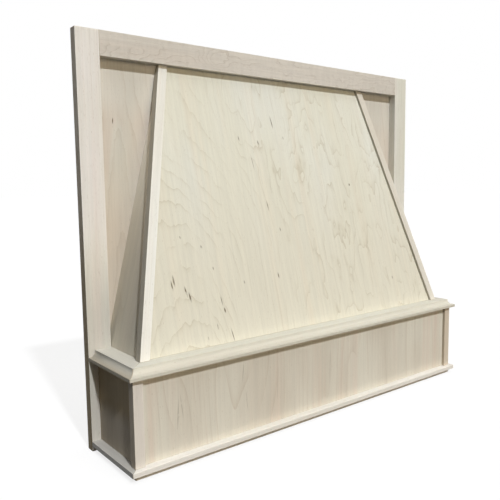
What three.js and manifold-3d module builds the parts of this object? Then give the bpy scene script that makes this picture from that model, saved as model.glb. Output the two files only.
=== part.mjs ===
// Wooden range hood cover: a maple face frame with a thin wing panel behind each side, a box along the bottom
// with a coved shelf and a ledge, and a hood front that slopes back between two leaning corner posts.
// Millimetres, +Z up, +Y towards the cabinets behind; the front looks towards -Y.
// The origin is on the back face of the top rail, on the centre line, in the band that bears on its support.
import * as THREE from 'three';
import { ConvexGeometry } from 'three/addons/geometries/ConvexGeometry.js';
import { mergeVertices } from 'three/addons/utils/BufferGeometryUtils.js';
import Module from 'manifold-3d';

const INCH = 25.4;

// Face frame.
const frameWidth = 36 * INCH;
const frameHeight = 30 * INCH;
const frameThickness = 0.75 * INCH;
const stileWidth = 1.75 * INCH;
const railHeight = 1.75 * INCH;

// Plywood panels, and how far they stand back from the faces of the corner posts.
const panelThickness = 0.375 * INCH;
const frontPanelSetback = 0.25 * INCH;
const sidePanelSetback = 0.3125 * INCH;
const wingEdgeInset = 0.5 * INCH;
const wingRailOverlap = 0.5 * INCH;

// Corner posts, as wide and deep as they measure on the level.
const postWidth = 0.75 * INCH;
const postDepth = 0.625 * INCH;

// Bottom box: how far its posts stand out from the frame, and how far the mouldings pass the posts.
const boxProjection = 6 * INCH;
const mouldingOverhang = 0.375 * INCH;

// Shelf, of mitred boards with a cove over a square lip.
const shelfTop = 7.5 * INCH;
const shelfThickness = 0.75 * INCH;
const shelfBoardWidth = 3 * INCH;
const lipHeight = 0.25 * INCH;
const lipLedge = 0.0625 * INCH;
const coveReach = 0.4375 * INCH;
const coveFillet = 0.0625 * INCH;
const coveSteps = 8;

// Ledge at the bottom, of mitred boards with a rebate under their square face.
const baseThickness = 0.75 * INCH;
const baseBoardWidth = 1.75 * INCH;
const rebateHeight = 0.375 * INCH;
const rebateDepth = 0.375 * INCH;

// Leaning hood: where the posts' outer corner stands on the shelf, and where it meets the rail.
const hoodFootInset = 1.4375 * INCH;
const hoodFootProjection = 5.0625 * INCH;
const hoodTopInset = 6.625 * INCH;
const hoodTopSetback = 0.375 * INCH;

// Depth left at the upper tip of each hood side.
const sidePanelTip = 3;

// Cleats and glue blocks inside.
const cleatSize = 0.75 * INCH;

// Pocket screws that pull the rail's ends to the stiles.
const screwLength = 31;
const screwDiameter = 4;
const screwHeadDiameter = 8.6;
const screwHeadHeight = 2.4;
const screwPointLength = 6;
const screwSpacing = 21;
const screwClearance = 0.3;
const pocketDiameter = 9.6;
const pocketSeat = 16;
const pocketAngle = THREE.MathUtils.degToRad(15);

// Glue line left between pieces that are joined, and what each piece gives up for it along a mitre.
const joint = 0.3;
const mitreJoint = joint / Math.SQRT2;

const SIDES = [['left', -1], ['right', 1]];

const finishes = {
  frame: { color: 0xd6cbba, roughness: 0.6, metalness: 0 },
  post: { color: 0xe4dece, roughness: 0.6, metalness: 0 },
  panel: { color: 0xdbd3be, roughness: 0.65, metalness: 0 },
  moulding: { color: 0xdcd4c4, roughness: 0.6, metalness: 0 },
  cleat: { color: 0xc8b08c, roughness: 0.8, metalness: 0 },
  screw: { color: 0xb0aa96, roughness: 0.35, metalness: 1 },
};

// Places that several pieces share. Heights are from the frame's bottom edge, depths from its back face,
// and distances to the side from the centre line.
const frameSide = frameWidth / 2;
const frameFace = -frameThickness;
const stileInner = frameSide - stileWidth;
const railBottom = frameHeight - railHeight;
const mouldingFront = frameFace - boxProjection - mouldingOverhang;
const boxFront = frameFace - boxProjection;
const boxSide = frameSide - mouldingOverhang;
const boxFloor = baseThickness + joint;
const boxCeiling = shelfTop - shelfThickness - joint;
const panelFront = boxFront + frontPanelSetback;
const panelOuter = boxSide - sidePanelSetback;
const boxCleatFront = boxFront + Math.max(frontPanelSetback + panelThickness, postDepth) + joint;
const boxCleatOuter = panelOuter - panelThickness - joint;

// The leaning hood: its outer corner line, and the faces that run parallel to it.
const hoodFoot = shelfTop + joint;
const hoodTop = railBottom - joint;
const hoodRise = railBottom - shelfTop;
const sideLean = (hoodTopInset - hoodFootInset) / hoodRise;
const frontLean = (hoodTopSetback + hoodFootProjection) / hoodRise;
const levelSideThickness = panelThickness * Math.hypot(1, sideLean);
const levelFrontThickness = panelThickness * Math.hypot(1, frontLean);

function hoodSideAt(z) {
  return frameSide - hoodFootInset - sideLean * (z - shelfTop);
}

function hoodFrontAt(z) {
  return frameFace - hoodFootProjection + frontLean * (z - shelfTop);
}

// The height at which a face that stands so far behind the hood's front line reaches a given depth.
function heightWhere(setback, depth) {
  return shelfTop + (depth - setback - hoodFrontAt(shelfTop)) / frontLean;
}

const slopeSetback = frontPanelSetback + levelFrontThickness + joint;
const postBackSetback = postDepth + joint;
const sideFaceAt = (z) => hoodSideAt(z) - sidePanelSetback;
const sideBackAt = (z) => sideFaceAt(z) - levelSideThickness;
const slopeBackAt = (z) => hoodFrontAt(z) + Math.max(slopeSetback, postBackSetback);

const wasm = await Module();
wasm.setup();

function toManifold(geometry) {
  const bare = geometry.clone();
  bare.deleteAttribute('normal');
  bare.deleteAttribute('uv');
  const merged = mergeVertices(bare);
  const vertProperties = new Float32Array(merged.attributes.position.array);
  const triVerts = new Uint32Array(merged.index.array);
  return new wasm.Manifold(new wasm.Mesh({ numProp: 3, vertProperties, triVerts }));
}

function toGeometry(solid) {
  const mesh = solid.getMesh();
  const geometry = new THREE.BufferGeometry();
  geometry.setAttribute('position', new THREE.BufferAttribute(new Float32Array(mesh.vertProperties), 3));
  geometry.setIndex(new THREE.BufferAttribute(new Uint32Array(mesh.triVerts), 1));
  geometry.computeVertexNormals();
  return geometry;
}

function cut(geometry, tools) {
  let solid = toManifold(geometry);
  for (const tool of tools) {
    solid = solid.subtract(toManifold(tool));
  }
  return toGeometry(solid);
}

// Turns the faces of an extruded solid outwards, whichever way its points were mapped.
function facingOut(geometry) {
  const corners = geometry.attributes.position;
  const a = new THREE.Vector3();
  const b = new THREE.Vector3();
  const c = new THREE.Vector3();
  let volume = 0;
  for (let i = 0; i < corners.count; i += 3) {
    a.fromBufferAttribute(corners, i);
    b.fromBufferAttribute(corners, i + 1);
    c.fromBufferAttribute(corners, i + 2);
    volume += a.dot(b.cross(c));
  }
  if (volume < 0) {
    for (let i = 0; i < corners.count; i += 3) {
      b.fromBufferAttribute(corners, i + 1);
      c.fromBufferAttribute(corners, i + 2);
      corners.setXYZ(i + 1, c.x, c.y, c.z);
      corners.setXYZ(i + 2, b.x, b.y, b.z);
    }
  }
  geometry.computeVertexNormals();
  return geometry;
}

// A box from ranges of x, y and z. On the left side the x range is mirrored.
function box(side, x, y, z) {
  const geometry = new THREE.BoxGeometry(x[1] - x[0], y[1] - y[0], z[1] - z[0]);
  geometry.translate(side * (x[0] + x[1]) / 2, (y[0] + y[1]) / 2, (z[0] + z[1]) / 2);
  return geometry;
}

// The solid between two level rectangles, each given as ranges of x and y at a height.
function leaningStick(side, foot, top) {
  const corners = [];
  for (const level of [foot, top]) {
    for (const x of level.x) {
      corners.push(new THREE.Vector3(side * x, level.y[0], level.z));
      corners.push(new THREE.Vector3(side * x, level.y[1], level.z));
    }
  }
  return new ConvexGeometry(corners);
}

// A moulding's profile, drawn inwards from its outer face and up, run along one side of the box.
function runProfile(profile, placePoint) {
  const geometry = new THREE.ExtrudeGeometry(profile, { depth: 1, bevelEnabled: false });
  const points = geometry.attributes.position;
  for (let i = 0; i < points.count; i += 1) {
    const place = placePoint(points.getX(i), points.getZ(i));
    points.setXYZ(i, place.x, place.y, points.getY(i));
  }
  return facingOut(geometry);
}

// Mitred at both ends, in front of the box.
function frontMoulding(profile) {
  return runProfile(profile, (inward, along) => ({
    x: THREE.MathUtils.lerp(-1, 1, along) * (frameSide - inward - mitreJoint),
    y: mouldingFront + inward,
  }));
}

// Mitred at the front and square against the stile's face.
function sideMoulding(profile, side) {
  return runProfile(profile, (inward, along) => ({
    x: side * (frameSide - inward),
    y: THREE.MathUtils.lerp(mouldingFront + inward + mitreJoint, frameFace - joint, along),
  }));
}

const hood = new THREE.Group();

function add(name, geometry, finish) {
  const mesh = new THREE.Mesh(geometry, new THREE.MeshStandardMaterial(finishes[finish]));
  mesh.name = name;
  hood.add(mesh);
}

// Pocket screws: pan head, shank and point, drawn standing on their point's axis with the seat at zero.
function screwGeometry() {
  const radius = screwDiameter / 2;
  const headRadius = screwHeadDiameter / 2;
  const outline = [
    new THREE.Vector2(0, -screwLength),
    new THREE.Vector2(radius, screwPointLength - screwLength),
    new THREE.Vector2(radius, 0),
    new THREE.Vector2(headRadius, 0),
    new THREE.Vector2(headRadius, screwHeadHeight / 2),
    new THREE.Vector2(headRadius / 2, screwHeadHeight),
    new THREE.Vector2(0, screwHeadHeight),
  ];
  return new THREE.LatheGeometry(outline, 20);
}

function pilotHole() {
  const radius = screwDiameter / 2 + screwClearance;
  const length = screwLength + 2 * screwClearance;
  const hole = new THREE.CylinderGeometry(radius, radius, length, 20);
  hole.translate(0, -length / 2, 0);
  return hole;
}

function pocketHole() {
  const length = 2 * frameThickness / Math.sin(pocketAngle);
  const hole = new THREE.CylinderGeometry(pocketDiameter / 2, pocketDiameter / 2, length, 24);
  hole.translate(0, length / 2 - screwClearance, 0);
  return hole;
}

// Lays a screw or its hole in the rail's end, leaning back at the pocket's angle.
function inPocket(geometry, side, z) {
  const seatX = stileInner - pocketSeat * Math.cos(pocketAngle);
  const seatY = frameFace / 2 + pocketSeat * Math.sin(pocketAngle);
  geometry.rotateZ(side * (Math.PI / 2 - pocketAngle));
  geometry.translate(side * seatX, seatY, z);
  return geometry;
}

// Face frame: full-height stiles with the rail between them.
const railMiddle = railBottom + railHeight / 2;
const screwLevels = [['lower', railMiddle - screwSpacing / 2], ['upper', railMiddle + screwSpacing / 2]];
const railHoles = [];
for (const [sideName, side] of SIDES) {
  const stile = box(side, [stileInner, frameSide], [frameFace, 0], [0, frameHeight]);
  const stileHoles = [];
  for (const [levelName, z] of screwLevels) {
    stileHoles.push(inPocket(pilotHole(), side, z));
    railHoles.push(inPocket(pilotHole(), side, z), inPocket(pocketHole(), side, z));
    add(`rail_screw_${sideName}_${levelName}`, inPocket(screwGeometry(), side, z), 'screw');
  }
  add(`${sideName}_stile`, cut(stile, stileHoles), 'frame');
}
const railEnd = stileInner - joint;
const rail = box(1, [-railEnd, railEnd], [frameFace, 0], [railBottom, frameHeight]);
add('top_rail', cut(rail, railHoles), 'frame');

// Ledge: its boards lie flat under the bottom box, rebated underneath.
const baseProfile = new THREE.Shape();
baseProfile.moveTo(rebateDepth, 0);
baseProfile.lineTo(rebateDepth, rebateHeight);
baseProfile.lineTo(0, rebateHeight);
baseProfile.lineTo(0, baseThickness);
baseProfile.lineTo(baseBoardWidth, baseThickness);
baseProfile.lineTo(baseBoardWidth, 0);
baseProfile.closePath();

// Shelf: a square lip, a hollow cove and a small fillet under the flat top.
const shelfProfile = new THREE.Shape();
const coveDrop = shelfThickness - lipHeight - coveFillet;
shelfProfile.moveTo(0, shelfTop - shelfThickness);
shelfProfile.lineTo(0, shelfTop - shelfThickness + lipHeight);
for (let step = 0; step <= coveSteps; step += 1) {
  const turn = Math.PI / 2 * step / coveSteps;
  const inward = lipLedge + coveReach * Math.sin(turn);
  shelfProfile.lineTo(inward, shelfTop - coveFillet - coveDrop * Math.cos(turn));
}
shelfProfile.lineTo(lipLedge + coveReach, shelfTop);
shelfProfile.lineTo(shelfBoardWidth, shelfTop);
shelfProfile.lineTo(shelfBoardWidth, shelfTop - shelfThickness);
shelfProfile.closePath();

for (const [pieceName, profile] of [['base', baseProfile], ['shelf', shelfProfile]]) {
  add(`${pieceName}_front_moulding`, frontMoulding(profile), 'moulding');
  for (const [sideName, side] of SIDES) {
    add(`${pieceName}_${sideName}_moulding`, sideMoulding(profile, side), 'moulding');
  }
}

// Bottom box between the ledge and the shelf: two square posts, a front panel and two side panels.
const boxHeight = [boxFloor, boxCeiling];
const frontPanelEnd = boxSide - postWidth - joint;
const frontPanelDepth = [panelFront, panelFront + panelThickness];
add('lower_front_panel', box(1, [-frontPanelEnd, frontPanelEnd], frontPanelDepth, boxHeight), 'panel');
for (const [sideName, side] of SIDES) {
  const postAcross = [boxSide - postWidth, boxSide];
  const postBack = boxFront + postDepth;
  const panelAcross = [panelOuter - panelThickness, panelOuter];
  const panelRun = [postBack + joint, frameFace - joint];
  add(`${sideName}_lower_post`, box(side, postAcross, [boxFront, postBack], boxHeight), 'post');
  add(`${sideName}_lower_side_panel`, box(side, panelAcross, panelRun, boxHeight), 'panel');
}

// Cleats inside the box: a run along its floor that takes the liner, a run under the shelf,
// a block in each front corner between them and an upright against each stile.
const cleatBack = boxCleatFront + cleatSize;
const cleatInner = boxCleatOuter - cleatSize;
const cleatRuns = [
  ['liner', 'cleat', [boxFloor, boxFloor + cleatSize]],
  ['shelf', 'nailer', [boxCeiling - cleatSize, boxCeiling]],
];
const cleatAcross = [cleatInner, boxCleatOuter];
const frontCleatDepth = [boxCleatFront, cleatBack];
const sideCleatRun = [cleatBack + joint, frameFace - joint];
const stileCleatDepth = [frameFace - joint - cleatSize, frameFace - joint];
const uprightHeight = [boxFloor + cleatSize + joint, boxCeiling - cleatSize - joint];
for (const [place, kind, z] of cleatRuns) {
  add(`${place}_front_${kind}`, box(1, [-boxCleatOuter, boxCleatOuter], frontCleatDepth, z), 'cleat');
  for (const [sideName, side] of SIDES) {
    add(`${place}_${sideName}_${kind}`, box(side, cleatAcross, sideCleatRun, z), 'cleat');
  }
}
for (const [sideName, side] of SIDES) {
  add(`${sideName}_lower_corner_block`, box(side, cleatAcross, frontCleatDepth, uprightHeight), 'cleat');
  add(`${sideName}_stile_cleat`, box(side, cleatAcross, stileCleatDepth, uprightHeight), 'cleat');
}

// Hood front: a post at each corner and the sloping panel between them, cut level at the shelf and the rail.
const tall = [-frameHeight, 2 * frameHeight];
const behindFrame = box(1, [-frameWidth, frameWidth], [0, frameWidth], tall);
const slopeEndAt = (z) => hoodSideAt(z) - postWidth - joint;

function slopeLevel(z) {
  const front = hoodFrontAt(z) + frontPanelSetback;
  return { x: [-slopeEndAt(z), slopeEndAt(z)], y: [front, front + levelFrontThickness], z };
}

function postLevel(z) {
  return {
    x: [hoodSideAt(z) - postWidth, hoodSideAt(z)],
    y: [hoodFrontAt(z), hoodFrontAt(z) + postDepth],
    z,
  };
}

add('sloped_front_panel', leaningStick(1, slopeLevel(hoodFoot), slopeLevel(hoodTop)), 'panel');
for (const [sideName, side] of SIDES) {
  const post = leaningStick(side, postLevel(hoodFoot), postLevel(hoodTop));
  add(`${sideName}_upper_post`, cut(post, [behindFrame]), 'post');
}

// Hood sides: each panel runs from behind its post to the wing panel and narrows to a tip below the rail.
function sidePanelLevel(z) {
  return { x: [sideBackAt(z), sideFaceAt(z)], y: [hoodFrontAt(z) + postBackSetback, 0], z };
}

const sidePanelTop = Math.min(heightWhere(postBackSetback, -sidePanelTip), hoodTop);
for (const [sideName, side] of SIDES) {
  const stileSpace = box(side, [stileInner - joint, frameWidth], [frameFace - joint, frameWidth], tall);
  const panel = leaningStick(side, sidePanelLevel(hoodFoot), sidePanelLevel(sidePanelTop));
  add(`${sideName}_upper_side_panel`, cut(panel, [stileSpace]), 'panel');
}

// Wing panels: on the frame's back, from its edge to the cleat behind the hood side,
// and narrower at the top where the sloping panel passes them.
const wingNeck = heightWhere(slopeSetback, 0);
const wingInnerAt = (z) => sideBackAt(z) - joint - cleatSize;
const wingNeckAt = (z) => hoodSideAt(z) - postWidth;
const wingOuter = frameSide - wingEdgeInset;
const wingTop = railBottom + wingRailOverlap;
const wingOutline = new THREE.Shape();
wingOutline.moveTo(wingOuter, shelfTop);
wingOutline.lineTo(wingOuter, wingTop);
wingOutline.lineTo(wingNeckAt(railBottom), wingTop);
wingOutline.lineTo(wingNeckAt(railBottom), railBottom);
wingOutline.lineTo(wingNeckAt(wingNeck), wingNeck);
wingOutline.lineTo(wingInnerAt(wingNeck), wingNeck);
wingOutline.lineTo(wingInnerAt(shelfTop), shelfTop);
wingOutline.closePath();
for (const [sideName, side] of SIDES) {
  const wing = new THREE.ExtrudeGeometry(wingOutline, { depth: panelThickness, bevelEnabled: false });
  wing.rotateX(Math.PI / 2);
  wing.translate(0, panelThickness + joint, 0);
  wing.scale(side, 1, 1);
  add(`${sideName}_wing_panel`, facingOut(wing), 'panel');
}

// Cleats inside the hood: sills along the shelf behind the panels, a leaning block behind each post,
// a leaning cleat in the corner of each side and wing panel, and one along the rail's back over the slope.
const sillTop = hoodFoot + cleatSize;
const sillBack = slopeBackAt(hoodFoot) + cleatSize;
const sillInner = sideBackAt(hoodFoot) - joint - cleatSize;

function frontSillLevel(z) {
  const end = sideBackAt(z) - joint;
  return { x: [-end, end], y: [slopeBackAt(z), sillBack], z };
}

function sideSillLevel(z) {
  return { x: [sillInner, sideBackAt(z) - joint], y: [sillBack + joint, 0], z };
}

function cornerBlockLevel(z) {
  const outer = sideBackAt(z) - joint;
  return { x: [outer - cleatSize, outer], y: [slopeBackAt(z), slopeBackAt(z) + cleatSize], z };
}

function wingCleatLevel(z) {
  const outer = sideBackAt(z) - joint;
  return { x: [outer - cleatSize, outer], y: [-cleatSize, 0], z };
}

const backSetback = slopeBackAt(shelfTop) - hoodFrontAt(shelfTop);
const wingCleatTop = heightWhere(backSetback, -cleatSize);
const cornerBlockTop = heightWhere(backSetback, -2 * cleatSize - joint);
add('front_sill_cleat', leaningStick(1, frontSillLevel(hoodFoot), frontSillLevel(sillTop)), 'cleat');
for (const [sideName, side] of SIDES) {
  add(`${sideName}_sill_cleat`, leaningStick(side, sideSillLevel(hoodFoot), sideSillLevel(sillTop)), 'cleat');
  add(`${sideName}_upper_corner_block`,
    leaningStick(side, cornerBlockLevel(sillTop + joint), cornerBlockLevel(cornerBlockTop)), 'cleat');
  add(`${sideName}_wing_cleat`,
    leaningStick(side, wingCleatLevel(sillTop + joint), wingCleatLevel(wingCleatTop)), 'cleat');
}
const topCleatEnd = wingNeckAt(railBottom) - joint;
const topCleatDepth = [joint, joint + cleatSize];
const topCleatHeight = [railBottom, railBottom + cleatSize];
add('panel_top_cleat', box(1, [-topCleatEnd, topCleatEnd], topCleatDepth, topCleatHeight), 'cleat');

// The pieces are built from the frame's bottom edge and hung from the rail's bearing band.
const bearingBand = railHeight - cleatSize;
hood.position.z = bearingBand / 2 - frameHeight;

const rangeHoodCover = new THREE.Group();
rangeHoodCover.add(hood);

export default rangeHoodCover;
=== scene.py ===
import math

import bmesh
import bpy
from mathutils import Matrix, Vector


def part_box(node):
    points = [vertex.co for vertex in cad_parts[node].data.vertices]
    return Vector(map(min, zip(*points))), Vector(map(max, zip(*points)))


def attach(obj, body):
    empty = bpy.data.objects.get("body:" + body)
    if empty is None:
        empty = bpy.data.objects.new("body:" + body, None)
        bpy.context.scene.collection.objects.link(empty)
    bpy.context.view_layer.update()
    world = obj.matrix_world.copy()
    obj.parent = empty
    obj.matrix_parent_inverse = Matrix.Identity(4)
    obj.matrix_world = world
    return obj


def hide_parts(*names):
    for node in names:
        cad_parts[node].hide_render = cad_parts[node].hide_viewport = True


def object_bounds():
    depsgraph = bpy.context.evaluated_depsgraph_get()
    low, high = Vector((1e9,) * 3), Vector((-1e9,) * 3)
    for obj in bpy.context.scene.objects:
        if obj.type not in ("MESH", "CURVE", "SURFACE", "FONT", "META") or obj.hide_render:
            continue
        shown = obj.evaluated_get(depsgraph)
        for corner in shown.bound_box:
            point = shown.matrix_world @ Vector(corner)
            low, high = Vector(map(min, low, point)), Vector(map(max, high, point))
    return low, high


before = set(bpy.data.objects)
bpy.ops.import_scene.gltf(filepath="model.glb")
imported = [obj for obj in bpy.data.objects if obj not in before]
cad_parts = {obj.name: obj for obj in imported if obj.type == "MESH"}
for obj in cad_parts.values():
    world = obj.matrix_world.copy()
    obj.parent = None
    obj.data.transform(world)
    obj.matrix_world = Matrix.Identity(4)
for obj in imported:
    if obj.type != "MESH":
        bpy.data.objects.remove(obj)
cad_low, cad_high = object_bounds()


# ---------------------------------------------------------------------------------------------------
# The studio: a white room whose floor lies under the ledge. A key lamp stands high in front, a little to
# the left; broad lamps fill in from the front, warmer, from overhead, from behind and from the right.
def seen_directly(tree):
    """1 where the picture sees a surface straight, mirrored or through glass, and 0 for bounced light."""
    path = tree.nodes.new("ShaderNodeLightPath")
    looks = path.outputs["Is Camera Ray"]
    for ray in ("Is Glossy Ray", "Is Transmission Ray"):
        either = tree.nodes.new("ShaderNodeMath")
        either.operation = "MAXIMUM"
        tree.links.new(looks, either.inputs[0])
        tree.links.new(path.outputs[ray], either.inputs[1])
        looks = either.outputs[0]
    return looks


def seen_or_bounced(tree, seen, bounced):
    """One number for what the picture sees directly and another for the light that bounces on."""
    level = tree.nodes.new("ShaderNodeMapRange")
    level.inputs["To Min"].default_value = bounced
    level.inputs["To Max"].default_value = seen
    tree.links.new(seen_directly(tree), level.inputs["Value"])
    return level.outputs[0]


def start_material(name):
    """A material and its tree of nodes, still empty."""
    material = bpy.data.materials.new(name)
    material.use_nodes = True
    material.node_tree.nodes.clear()
    return material, material.node_tree


def place_in_scene(name, data):
    """An object made of a mesh, a lamp or a camera, put into the scene."""
    placed = bpy.data.objects.new(name, data)
    bpy.context.scene.collection.objects.link(placed)
    return placed


MM = 0.001
floor_reach = 40.0
floor_gap = 0.2 * MM
floor_level = cad_low.z - floor_gap
floor_paint, floor_tree = start_material("studio_floor")
floor_grey = floor_tree.nodes.new("ShaderNodeCombineColor")
floor_shade = seen_or_bounced(floor_tree, seen=0.24, bounced=0.06)
for channel in ("Red", "Green", "Blue"):
    floor_tree.links.new(floor_shade, floor_grey.inputs[channel])
floor_matt = floor_tree.nodes.new("ShaderNodeBsdfDiffuse")
floor_glow = floor_tree.nodes.new("ShaderNodeEmission")
floor_sum = floor_tree.nodes.new("ShaderNodeAddShader")
floor_out = floor_tree.nodes.new("ShaderNodeOutputMaterial")
floor_tree.links.new(floor_grey.outputs[0], floor_matt.inputs["Color"])
floor_tree.links.new(seen_or_bounced(floor_tree, seen=0.80, bounced=0.0), floor_glow.inputs["Strength"])
floor_tree.links.new(floor_matt.outputs[0], floor_sum.inputs[0])
floor_tree.links.new(floor_glow.outputs[0], floor_sum.inputs[1])
floor_tree.links.new(floor_sum.outputs[0], floor_out.inputs["Surface"])

floor_mesh = bpy.data.meshes.new("studio_floor")
floor_corners = [
    (side_x * floor_reach, side_y * floor_reach, floor_level)
    for side_x, side_y in ((-1, -1), (1, -1), (1, 1), (-1, 1))
]
floor_mesh.from_pydata(floor_corners, [], [(0, 1, 2, 3)])
floor_mesh.materials.append(floor_paint)
floor = place_in_scene("studio_floor", floor_mesh)

room = bpy.data.worlds.new("studio_room")
bpy.context.scene.world = room
room.use_nodes = True
room_tree = room.node_tree
room_tree.nodes.clear()
room_light = room_tree.nodes.new("ShaderNodeBackground")
room_light.inputs["Color"].default_value = (1.0, 1.0, 1.0, 1.0)
room_out = room_tree.nodes.new("ShaderNodeOutputWorld")
room_tree.links.new(seen_or_bounced(room_tree, seen=1.0, bounced=0.02), room_light.inputs["Strength"])
room_tree.links.new(room_light.outputs[0], room_out.inputs["Surface"])


lamp_distance = 4.0


def hang_lamp(name, travel, strength, spread, colour):
    """A lamp whose light travels one way as from far off, softened by a spread in degrees."""
    lamp = bpy.data.lights.new(name, "SUN")
    lamp.energy = strength
    lamp.angle = math.radians(spread)
    lamp.color = colour
    hung = place_in_scene(name, lamp)
    hung.rotation_euler = travel.to_track_quat("-Z", "Y").to_euler()
    hung.location = -lamp_distance * travel.normalized()


hang_lamp(
    "key_lamp", travel=Vector((0.125, 0.72, -0.68)), strength=2.05, spread=3.0, colour=(0.975, 1.0, 1.025))
hang_lamp(
    "front_lamp", travel=Vector((-0.15, 0.98, -0.05)), strength=1.3, spread=40.0, colour=(1.0, 0.81, 0.55))
hang_lamp(
    "back_lamp", travel=Vector((0.05, -0.99, -0.1)), strength=2.3, spread=30.0, colour=(1.0, 1.0, 1.0))
hang_lamp(
    "overhead_lamp", travel=Vector((-0.03, 0.2, -0.98)), strength=1.0, spread=45.0, colour=(1.0, 0.98, 0.95))
hang_lamp(
    "right_lamp", travel=Vector((-1.0, -0.16, -0.05)), strength=1.3, spread=18.0, colour=(1.0, 0.99, 0.96))

Z = Vector((0.0, 0.0, 1.0))
camera_place = Vector((-0.8709, -1.0220, -0.2676))
camera_turn = math.radians(-38.244)
camera_tilt = math.radians(6.061)
camera_roll = math.radians(-0.784)
camera_data = bpy.data.cameras.new("camera")
camera_data.sensor_width = 36.0
camera_data.lens = 42.387
camera_data.clip_end = 200.0
camera = place_in_scene("camera", camera_data)
view_back = Vector((
    math.sin(camera_turn) * math.cos(camera_tilt),
    -math.cos(camera_turn) * math.cos(camera_tilt),
    math.sin(camera_tilt),
))
view_right = Z.cross(view_back).normalized()
level_view = Matrix((view_right, view_back.cross(view_right), view_back)).transposed()
rolled_view = level_view @ Matrix.Rotation(camera_roll, 3, "Z")
camera.matrix_world = Matrix.Translation(camera_place) @ rolled_view.to_4x4()
bpy.context.scene.camera = camera
bpy.context.scene.view_settings.view_transform = "Standard"


# ---------------------------------------------------------------------------------------------------
# The stiles: two full-height boards of hard maple, planed to 3/4 inch, sanded on the face and left
# unfinished. Their outer edges go against the cabinets, so they are only jointed and stay rougher;
# their darker brown is mostly painted shade.
def paint(red, green, blue):
    """A colour as it looks on a screen, in steps of 255, as the shader counts it."""
    steps = (red / 255, green / 255, blue / 255)
    return tuple(s / 12.92 if s <= 0.04045 else ((s + 0.055) / 1.055) ** 2.4 for s in steps) + (1.0,)


def feed(tree, socket, value):
    """Sets a node's input, or joins another node's output to it."""
    if isinstance(value, bpy.types.NodeSocket):
        tree.links.new(value, socket)
    else:
        socket.default_value = value


def step(tree, operation, *values, clamp=False):
    """One step of arithmetic."""
    made = tree.nodes.new("ShaderNodeMath")
    made.operation = operation
    made.use_clamp = clamp
    for socket, value in zip(made.inputs, values):
        feed(tree, socket, value)
    return made.outputs[0]


def between(tree, value, low, high, start=0.0, end=1.0):
    """start below low, end above high, and a smooth change from one to the other."""
    made = tree.nodes.new("ShaderNodeMapRange")
    made.interpolation_type = "SMOOTHSTEP"
    for name, number in (("From Min", low), ("From Max", high), ("To Min", start), ("To Max", end)):
        made.inputs[name].default_value = number
    feed(tree, made.inputs["Value"], value)
    return made.outputs[0]


def blotches(tree, place, across, along, detail=2.0, rough=0.5):
    """Uneven tone from 0 to 1, with about so many blotches to the metre across the grain and along it."""
    stretch = tree.nodes.new("ShaderNodeVectorMath")
    stretch.operation = "MULTIPLY"
    feed(tree, stretch.inputs[0], place)
    stretch.inputs[1].default_value = (across, across, along)
    noise = tree.nodes.new("ShaderNodeTexNoise")
    noise.inputs["Scale"].default_value = 1.0
    noise.inputs["Detail"].default_value = detail
    noise.inputs["Roughness"].default_value = rough
    tree.links.new(stretch.outputs[0], noise.inputs["Vector"])
    return noise.outputs[0]


def tint(tree, share, under, over):
    """The colour over laid on the colour under, as thick as share says."""
    made = tree.nodes.new("ShaderNodeMix")
    made.data_type = "RGBA"
    made.clamp_factor = True
    feed(tree, made.inputs[0], share)
    feed(tree, made.inputs[6], under)
    feed(tree, made.inputs[7], over)
    return made.outputs[2]


def brighten(tree, colour, share):
    """The colour, made so many times as bright."""
    made = tree.nodes.new("ShaderNodeVectorMath")
    made.operation = "SCALE"
    feed(tree, made.inputs[0], colour)
    feed(tree, made.inputs["Scale"], share)
    return made.outputs[0]


def mark(tree, name, output="Fac"):
    """One of the numbers or vectors that ease_edges and make_board leave on a board."""
    made = tree.nodes.new("ShaderNodeAttribute")
    made.attribute_name = name
    return made.outputs[output]


def board_places(tree):
    """Places on a board: across its grain, through its thickness and along it, counted in metres from
    its middle, and the same again shifted by the board's own number, so that no two boards match."""
    grain = mark(tree, "grain", "Vector")
    shift = tree.nodes.new("ShaderNodeVectorMath")
    shift.operation = "SCALE"
    shift_to_next_board = (0.71, 1.93, 2.57)
    shift.inputs[0].default_value = shift_to_next_board
    tree.links.new(mark(tree, "board_number"), shift.inputs["Scale"])
    shifted = tree.nodes.new("ShaderNodeVectorMath")
    shifted.operation = "ADD"
    tree.links.new(grain, shifted.inputs[0])
    tree.links.new(shift.outputs[0], shifted.inputs[1])
    split = tree.nodes.new("ShaderNodeSeparateXYZ")
    tree.links.new(grain, split.inputs[0])
    return split.outputs, shifted.outputs[0]


def finish(tree, colour, roughness, height, relief):
    """The bare wood's surface, with its pores and fibres as relief of so many metres."""
    shader = tree.nodes.new("ShaderNodeBsdfPrincipled")
    shader.inputs["Specular IOR Level"].default_value = 0.12
    feed(tree, shader.inputs["Base Color"], colour)
    feed(tree, shader.inputs["Roughness"], roughness)
    bump = tree.nodes.new("ShaderNodeBump")
    bump.inputs["Strength"].default_value = 0.4
    bump.inputs["Distance"].default_value = relief
    feed(tree, bump.inputs["Height"], height)
    tree.links.new(bump.outputs[0], shader.inputs["Normal"])
    out = tree.nodes.new("ShaderNodeOutputMaterial")
    tree.links.new(shader.outputs[0], out.inputs["Surface"])


def straight_growth(lines, wander=0.06):
    """Growth lines that run along a board, so many to the metre, and wander so far off their way.
    Like every growth here it gives the lines' field, a line at each whole number, and their strength."""
    def rings(tree, place, shifted):
        sway = blotches(tree, shifted, across=7.0, along=1.1, detail=1.0)
        tilt_through_board = 0.6
        slant = step(tree, "MULTIPLY_ADD", place[1], tilt_through_board, place[0])
        swayed = step(tree, "MULTIPLY", sway, lines * wander)
        return step(tree, "MULTIPLY_ADD", slant, lines, swayed), 1.0
    return rings


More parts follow.
